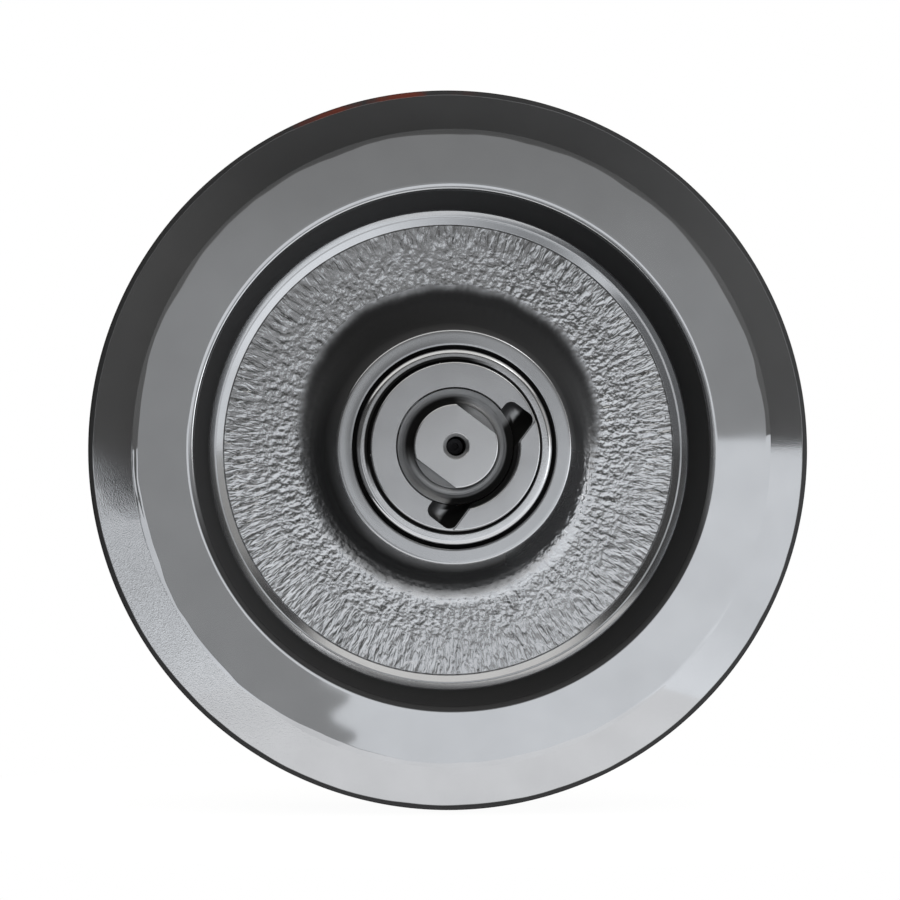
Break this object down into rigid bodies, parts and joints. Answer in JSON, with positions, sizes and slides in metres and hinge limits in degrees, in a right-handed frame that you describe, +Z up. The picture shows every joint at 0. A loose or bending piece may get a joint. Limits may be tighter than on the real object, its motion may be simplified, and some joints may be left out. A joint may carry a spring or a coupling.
{
  "type": "excavator front idler",
  "caption": "Flanged cast idler wheel with a dished web, turning on bushes around a fixed shaft whose flatted ends stand out of sealed end collars.",
  "frame": {"origin": "centre of the wheel, on the shaft's axis in the wheel's middle plane", "axes": "Y along the shaft, with the end that has the oil hole at -Y; +Z up as in the picture; +X to the right of someone who looks along +Y"},
  "size_m": [0.4, 0.176, 0.4],
  "materials": {
    "painted_casting": "dark grey gloss paint over a rough steel casting",
    "painted_steel": "dark grey gloss paint over turned steel",
    "plain_steel": "plain turned steel",
    "seal_iron": "hard iron, lapped on the sealing face",
    "bronze": "turned bronze",
    "rubber": "black nitrile rubber"
  },
  "bodies": {
    "axle": {"axle_shaft": "painted_steel", "front_end_collar": "painted_steel", "rear_end_collar": "painted_steel", "front_lock_pin": "plain_steel", "rear_lock_pin": "plain_steel", "front_seal_ring_fixed": "seal_iron", "rear_seal_ring_fixed": "seal_iron", "front_toric_ring_fixed": "rubber", "rear_toric_ring_fixed": "rubber", "front_shaft_o_ring": "rubber", "rear_shaft_o_ring": "rubber", "oil_plug": "plain_steel", "oil_plug_o_ring": "rubber"},
    "wheel": {"idler_wheel": "painted_casting", "front_bush": "bronze", "rear_bush": "bronze", "front_seal_ring_turning": "seal_iron", "rear_seal_ring_turning": "seal_iron", "front_toric_ring_turning": "rubber", "rear_toric_ring_turning": "rubber"}
  },
  "joints": [
    {"name": "wheel_spin", "type": "hinge", "parent": "axle", "child": "wheel", "pos_m": [0, 0, 0], "axis": [0, 1, 0], "continuous": true}
  ]
}
